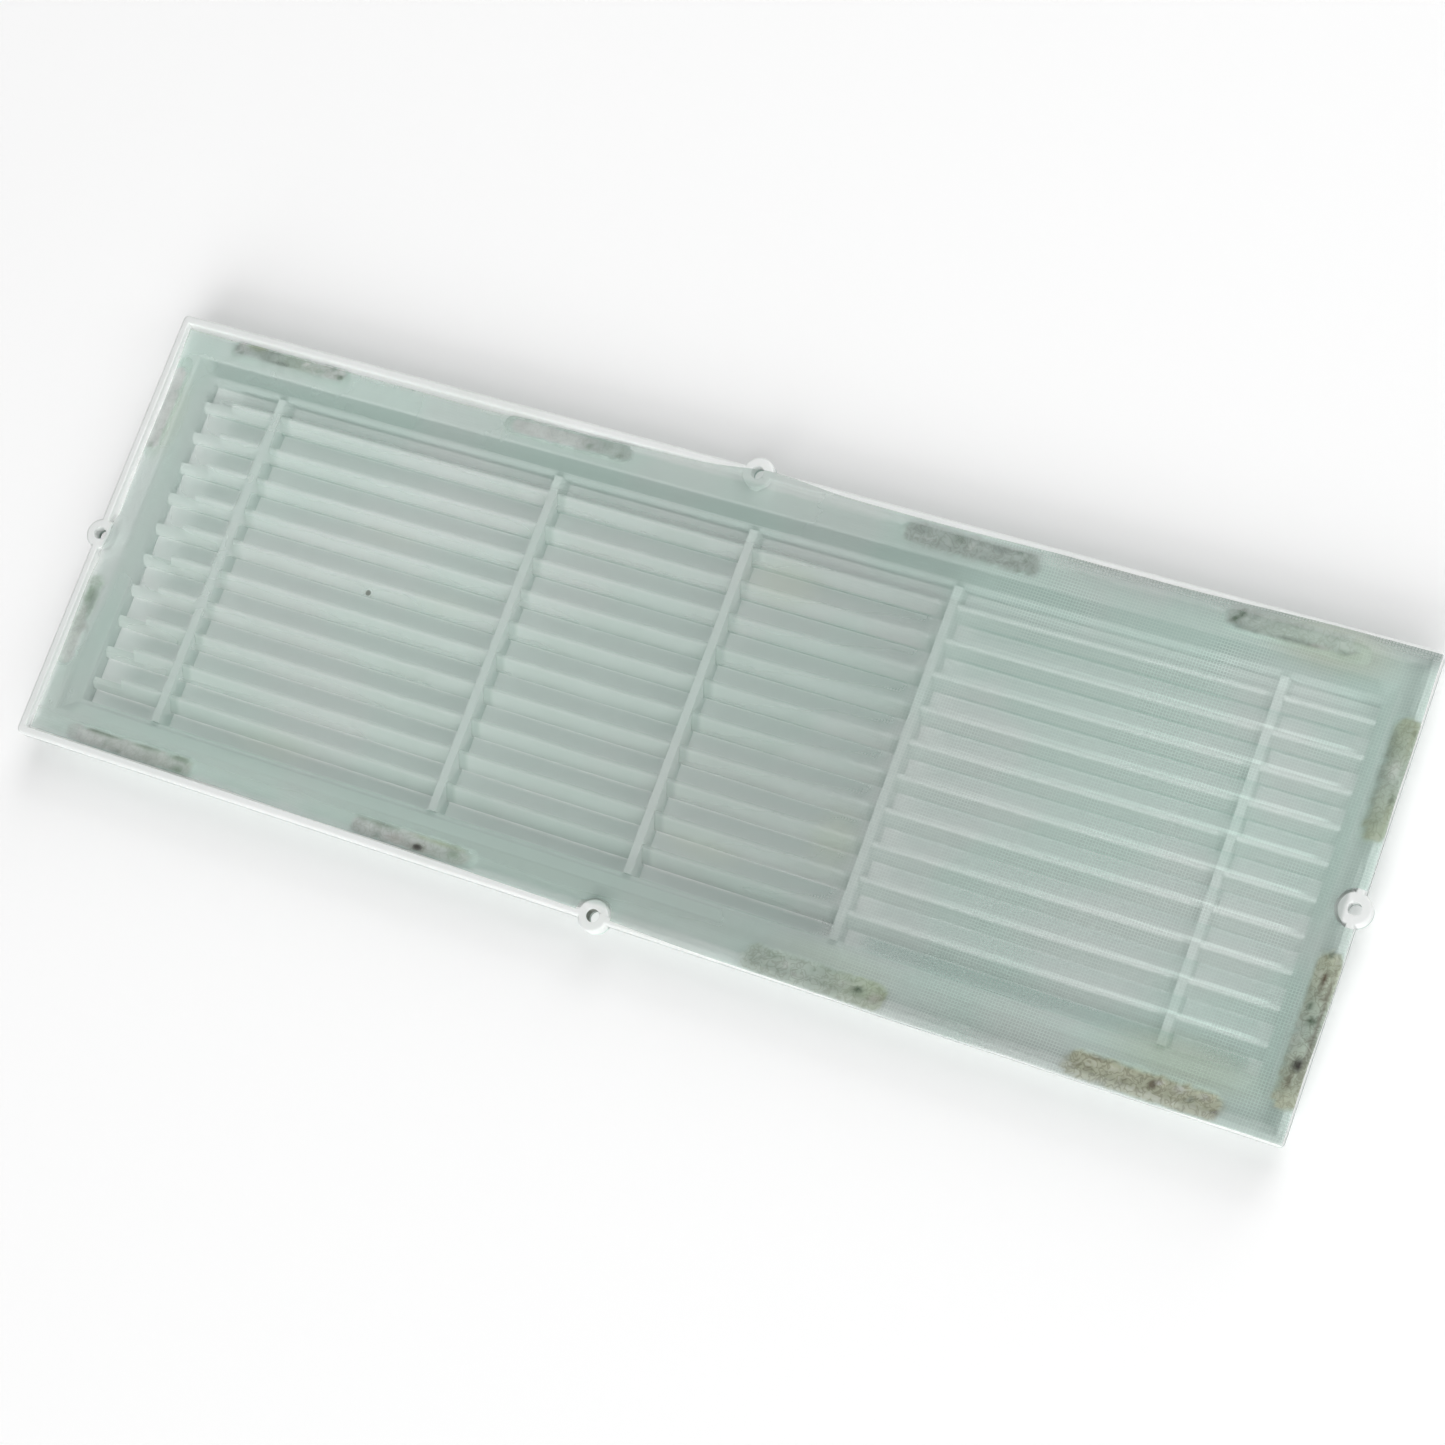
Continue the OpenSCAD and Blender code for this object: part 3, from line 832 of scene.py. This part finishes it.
def edgeDirtAndShade(nodes, links, x, y, colour):
    # dirt and painted shade where the sheet climbs the lip, mostly on the +Y side
    reachY = mathNode(nodes, links, "ABSOLUTE", y)
    corner = times(nodes, links, fadeRange(nodes, links, x, 60 * mm, 95 * mm),
                   fadeRange(nodes, links, reachY, 54 * mm, 61 * mm))
    corner = times(nodes, links, corner, fadeRange(nodes, links, y, -10 * mm, 10 * mm, *screen["cornerDirtAndShade"]))
    colour = mixColour(nodes, links, corner, colour, (0.0, 0.0, 0.0))
    # the left end is greyer
    greyed = times(nodes, links, fadeRange(nodes, links, x, -166 * mm, -171 * mm, 0, 0.6),
                   fadeRange(nodes, links, reachY, 40 * mm, 20 * mm))
    return mixColour(nodes, links, greyed, colour, screen["greyed"])


def soakedGlue(nodes, links, place, colour, cover):
    # yellowed patches, then the soaked glue: its threads let the pad under them show
    yellow = readAttribute(nodes, "yellowed")
    colour = mixColour(nodes, links, yellow, colour, screen["yellowed"])
    soaked = readAttribute(nodes, "soaked")
    hides = readAttribute(nodes, "hides")
    glueLook = useGroup(nodes, glueGroup)
    links.new(place, glueLook.inputs["Vector"])
    tone = readAttribute(nodes, "glueTone", "Color")
    links.new(tone, glueLook.inputs["Tone"])
    lumps = readAttribute(nodes, "lumps")
    links.new(lumps, glueLook.inputs["Lumps"])
    colour = mixColour(nodes, links, soaked, colour, glueLook.outputs["Color"])
    difference = mathNode(nodes, links, "SUBTRACT", hides, cover)
    return colour, mathNode(nodes, links, "MULTIPLY_ADD", difference, soaked, cover)


def screenMaterial():
    material, nodes, links = newMaterial("woven_mesh")
    shader = nodes["Principled BSDF"]
    place = nodes.new("ShaderNodeTexCoord").outputs["Object"]
    x, y = separateXyz(nodes, links, place)[:2]
    cover, weaveHeight = screenCover(nodes, links, place, x)
    tint = fadeRange(nodes, links, noiseValue(nodes, links, place, screen["tintScale"], 2), 0.46, 0.62)
    colour = mixColour(nodes, links, tint, *screen["tones"])
    colour = lintAndPaintedShade(nodes, links, x, y, colour)
    colour = gapBands(nodes, links, x, y, colour)
    colour = edgeDirtAndShade(nodes, links, x, y, colour)
    colour, cover = soakedGlue(nodes, links, place, colour, cover)
    # one speck of lint
    speck = addNode(nodes, "ShaderNodeVectorMath", operation="DISTANCE")
    links.new(place, speck.inputs[0])
    speck.inputs[1].default_value = screen["speck"]
    lintMask = fadeRange(nodes, links, speck.outputs["Value"], 1.3 * mm, 0.4 * mm)
    colour = mixColour(nodes, links, lintMask, colour, screen["speckTone"])
    cover = mathNode(nodes, links, "MAXIMUM", cover, times(nodes, links, lintMask, 0.85))
    links.new(colour, shader.inputs["Base Color"])
    links.new(cover, shader.inputs["Alpha"])
    shader.inputs["Roughness"].default_value = 0.5
    bump = nodes.new("ShaderNodeBump")
    bump.inputs["Strength"].default_value = 0.4
    bump.inputs["Distance"].default_value = 0.12 * mm
    links.new(weaveHeight, bump.inputs["Height"])
    links.new(bump.outputs[0], shader.inputs["Normal"])
    return material


def wave(t, parts):
    return sum(size * math.sin(turns * math.pi * t + start) for size, turns, start in parts) * mm


def eased(value, low, high):
    t = min(1.0, max(0.0, (value - low) / (high - low)))
    return t * t * (3 - 2 * t)


def newAttributes(data, *kinds):
    for name, kind in kinds:
        data.attributes.new(name, kind, "POINT")
    return [data.attributes[name] for name, kind in kinds]


def stainScreen(piece):
    # each point of the sheet knows how much glue and yellowing it holds
    data = piece.data
    soaked, lumps, hides, yellowed, tone = newAttributes(
        data, ("soaked", "FLOAT"), ("lumps", "FLOAT"), ("hides", "FLOAT"), ("yellowed", "FLOAT"),
        ("glueTone", "FLOAT_COLOR"))
    for vertex in data.vertices:
        x, y = vertex.co.x / mm, vertex.co.y / mm
        amount, colour, lumpy, hiding = glueAt(x, y)
        soaked.data[vertex.index].value = amount
        lumps.data[vertex.index].value = lumpy
        hides.data[vertex.index].value = hiding
        tone.data[vertex.index].color = (*colour, 1)
        yellow = 0.0
        for middle, half, strength in stains:
            away = math.hypot((x - middle[0]) / half[0], (y - middle[1]) / half[1])
            yellow = max(yellow, strength * (1 - eased(away, 0.2, 1.1)))
        yellowed.data[vertex.index].value = yellow


def buildScreen():
    low, high = screenLow, screenHigh
    size = high - low
    columns, rows = round(size.x / screen["step"]), round(size.y / screen["rowStep"])
    deselectAll()
    bpy.ops.mesh.primitive_grid_add(x_subdivisions=columns, y_subdivisions=rows, size=2)
    piece = bpy.context.active_object
    piece.name = "mesh_screen_cloth"
    level, lipLevel = high.z - 0.05 * mm, tray["lipTop"] + 0.08 * mm
    waves = screen["waves"]
    # the sheet lies over the inner half of the bosses on the -X and +Y sides
    covered = [place for place in bossPlaces() if place.x < -100 * mm or place.y > 50 * mm]
    for vertex in piece.data.vertices:
        u, v = vertex.co.x, vertex.co.y
        u += 0.035 * math.exp(-(1 - u) / 0.06) * (1 - u) / 0.03 if u < 1 else 0     # closer steps at the right end
        left = low.x + screen["leftIn"] + wave(v, waves["left"])
        left += screen["leftDip"] * math.exp(-((v + 0.06) / 0.1) ** 2)
        right = high.x + screen["rightOut"] + wave(v, waves["right"])
        bottom = low.y - eased(u, -0.35, 0.3) * screen["bottomOut"] + wave(u, waves["bottom"])
        top = high.y - screen["topIn"] + eased(u, -0.9, 1.0) * screen["topSlope"] + wave(u, waves["top"])
        overBoss = (left + (right - left) * (u + 1) / 2) / mm - 2
        # it covers the boss on the +Y side
        top += screen["bossCover"] * math.exp(-(overBoss / screen["bossCoverHalf"]) ** 2)
        vertex.co.x = left + (right - left) * (u + 1) / 2
        vertex.co.y = bottom + (top - bottom) * (v + 1) / 2
        # the sheet was cut a little large, so it climbs onto the lip at the right end
        x, y = vertex.co.x, vertex.co.y
        climb = max(eased(x - lipInner.x, -6 * mm, -0.15 * mm),
                    eased(y - lipInner.y, -4 * mm, -0.15 * mm) * eased(u, -0.32, -0.12),
                    eased(-y - lipInner.y, -4 * mm, -0.15 * mm) * eased(u, -0.42, -0.2))
        for place in covered:
            climb = max(climb, 1 - eased((vertex.co.to_2d() - place.to_2d()).length, *screen["onBoss"]))
        droop = max(0, x - lipOuter.x + 0.3 * mm, abs(y) - lipOuter.y + 0.3 * mm) * 0.5
        vertex.co.z = level + (lipLevel - level) * climb - droop + 0.05 * mm * noise.noise(vertex.co * 40)
    for place in bossPlaces():
        if place not in covered:
            notchSheet(piece, place, screen["notch"])
    stainScreen(piece)
    smoothEdges(piece, 60)
    paint(piece, screenMaterial())
    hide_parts("mesh_screen")
    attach(piece, "root")
    return piece


def notchSheet(piece, place, radius):
    makeActive(piece)
    setMode("EDIT")
    bpy.ops.mesh.select_mode(type="FACE")
    bpy.ops.mesh.select_all(action="DESELECT")
    setMode("OBJECT")
    data = piece.data
    middle = Vector((place.x, place.y))
    for face in data.polygons:
        face.select = (face.center.to_2d() - middle).length < radius
    setMode("EDIT")
    bpy.ops.mesh.delete(type="FACE")
    setMode("OBJECT")
    for vertex in data.vertices:
        # the points beside the notch move onto its round edge
        away = vertex.co.to_2d() - middle
        if away.length < radius * 1.15:
            edge = away.normalized() * radius
            vertex.co.x, vertex.co.y = middle.x + edge.x, middle.y + edge.y


buildScreen()
print("screen made")


def glueMaterial():
    material, nodes, links = newMaterial("old_glue")
    shader = nodes["Principled BSDF"]
    look = useGroup(nodes, glueGroup)
    links.new(nodes.new("ShaderNodeTexCoord").outputs["Object"], look.inputs["Vector"])
    links.new(readAttribute(nodes, "glueTone", "Color"), look.inputs["Tone"])
    links.new(readAttribute(nodes, "lumps"), look.inputs["Lumps"])
    links.new(look.outputs["Color"], shader.inputs["Base Color"])
    shader.inputs["Roughness"].default_value = 0.55
    return material


padMaterial = glueMaterial()
smear = {
    "step": 0.4 * mm,
    "wobble": 0.12,
    "narrower": 0.94,
    "bumps": 0.06 * mm,
    "lowest": 0.08 * mm,
    "thick": 0.28 * mm,
    "thin": (0.42, 0.48, 0.45),          # tone at the rim
    "paler": 1.75,
}


def buildPad(node, seed):
    low, high = (Vector(corner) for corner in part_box(node))
    size, middle = high - low, (low + high) / 2
    deselectAll()
    bpy.ops.mesh.primitive_grid_add(x_subdivisions=max(6, round(size.x / smear["step"])),
                                    y_subdivisions=max(6, round(size.y / smear["step"])), size=2)
    piece = bpy.context.active_object
    piece.name = node + "_smear"
    long = max(size.x, size.y) / 2
    short = min(size.x, size.y) / 2
    alongX = size.x > size.y
    for vertex in piece.data.vertices:
        point = Vector((vertex.co.x * size.x / 2, vertex.co.y * size.y / 2, 0))
        run, side = (point.x, point.y) if alongX else (point.y, point.x)
        over = max(0, abs(run) - (long - short))
        halfHere = math.sqrt(max(0.0, short ** 2 - over ** 2))
        wobble = 1 + smear["wobble"] * noise.noise(Vector((run * 300 + seed, 0, seed)))
        side = side / short * halfHere * wobble * smear["narrower"]
        point = Vector((run, side, 0)) if alongX else Vector((side, run, 0))
        rim = min(1, 4 * max(0, 1 - abs(vertex.co.x)), 4 * max(0, 1 - abs(vertex.co.y)))
        bumps = smear["bumps"] * noise.noise(point * 900 + Vector((seed, seed, seed)))
        vertex.co = middle + point
        vertex.co.z = low.z + smear["lowest"] + rim * (smear["thick"] + bumps)
    makeActive(piece)
    setMode("EDIT")
    bpy.ops.mesh.select_all(action="SELECT")
    bpy.ops.mesh.extrude_region_move(TRANSFORM_OT_translate={"value": (0, 0, 0)})
    bpy.ops.transform.resize(value=(1, 1, 0))
    setMode("OBJECT")
    for vertex in piece.data.vertices:
        if vertex.select:
            vertex.co.z = low.z
    setMode("EDIT")
    bpy.ops.mesh.select_all(action="SELECT")
    bpy.ops.mesh.remove_doubles(threshold=0.01 * mm)
    bpy.ops.mesh.normals_make_consistent(inside=False)
    setMode("OBJECT")
    smoothEdges(piece, 50)
    data = piece.data
    tone, lumps = newAttributes(data, ("glueTone", "FLOAT_COLOR"), ("lumps", "FLOAT"))
    for vertex in data.vertices:
        amount, colour, lumpy = glueAt(vertex.co.x / mm, vertex.co.y / mm)[:3]
        # less light gets under the screen, so the pads are paler than they look from above
        colour = [min(0.9, smear["paler"] * channel) for channel in blend(smear["thin"], colour, amount)]
        tone.data[vertex.index].color = (*colour, 1)
        lumps.data[vertex.index].value = lumpy * amount
    paint(piece, padMaterial)
    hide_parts(node)
    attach(piece, "root")


for index, name in enumerate(sorted(glue["pads"])):
    buildPad(name, 1.7 * index)
print("glue made")

# floor, lights and camera

studio = {
    "floorSize": 6.0,
    "world": 0.02,
    "floorGlow": 0.12,
    # lamps that face the panel's middle: place, size and power
    "lamps": {
        "keyLamp": ((1.4, -2.6, 2.5), 3.8, 97),
        "frontLamp": ((0, -3.4, 1.6), 2.4, 61),
        "overheadLamp": ((0.3, 2.2, 3.0), 2.2, 31),
        "backLamp": ((0.5, 3.4, 1.6), 2.4, 64),
        "sideLamp": ((3.4, 0, 1.5), 1.8, 18),
    },
}


def buildFloor():
    deselectAll()
    bpy.ops.mesh.primitive_plane_add(size=studio["floorSize"], location=(0, 0, -0.05 * mm))
    floor = bpy.context.active_object
    floor.name = "floor"
    applyPlace(floor)
    material, nodes, links = newMaterial("floor_white")
    shader = nodes["Principled BSDF"]
    shader.inputs["Base Color"].default_value = (0.97, 0.97, 0.97, 1)
    shader.inputs["Roughness"].default_value = 0.9
    shader.inputs["Specular IOR Level"].default_value = 0.1
    light = nodes.new("ShaderNodeLightPath")
    seen = mathNode(nodes, links, "MAXIMUM", light.outputs["Is Camera Ray"],
                    mathNode(nodes, links, "MAXIMUM", light.outputs["Is Glossy Ray"],
                             light.outputs["Is Transmission Ray"]))
    shader.inputs["Emission Color"].default_value = (1, 1, 1, 1)
    links.new(times(nodes, links, seen, studio["floorGlow"]), shader.inputs["Emission Strength"])
    paint(floor, material)


def addLamp(name, place, size, power):
    deselectAll()
    bpy.ops.object.light_add(type="AREA", location=place)
    lamp = bpy.context.active_object
    lamp.name = name
    lamp.data.shape = "SQUARE"
    lamp.data.size = size
    lamp.data.energy = power
    lamp.rotation_euler = (-Vector(place)).to_track_quat("-Z", "Y").to_euler()


def buildWorld():
    world = bpy.data.worlds.new("studio")
    bpy.context.scene.world = world
    world.use_nodes = True
    background = world.node_tree.nodes["Background"]
    background.inputs[0].default_value = (1, 1, 1, 1)
    nodes, links = world.node_tree.nodes, world.node_tree.links
    # the camera sees white beyond the floor
    seen = nodes.new("ShaderNodeLightPath").outputs["Is Camera Ray"]
    links.new(mathNode(nodes, links, "MAXIMUM", seen, studio["world"]), background.inputs[1])


view = {
    "azimuth": 64.95,
    "elevation": 67.24,
    "roll": 46.43,
    "distance": 0.8158,
    "lens": 80.8,
    "target": (12.3 * mm, -4.3 * mm, tray["lipTop"]),
}


def buildCamera():
    azimuth, elevation = math.radians(view["azimuth"]), math.radians(view["elevation"])
    away = Vector((math.sin(azimuth) * math.cos(elevation), -math.cos(azimuth) * math.cos(elevation),
                   math.sin(elevation)))
    place = Vector(view["target"]) + away * view["distance"]
    deselectAll()
    bpy.ops.object.camera_add(location=place)
    camera = bpy.context.active_object
    level = (-away).to_track_quat("-Z", "Y").to_matrix().to_4x4()
    turn = Matrix.Rotation(math.radians(-view["roll"]), 4, "Z")
    camera.matrix_world = Matrix.Translation(place) @ level @ turn
    camera.data.lens = view["lens"]
    camera.data.sensor_width = 36
    camera.data.clip_end = 50
    bpy.context.scene.camera = camera


buildFloor()
buildWorld()
for name, (place, size, power) in studio["lamps"].items():
    addLamp(name, place, size, power)
buildCamera()
bpy.context.scene.view_settings.view_transform = "Standard"
print("studio made")
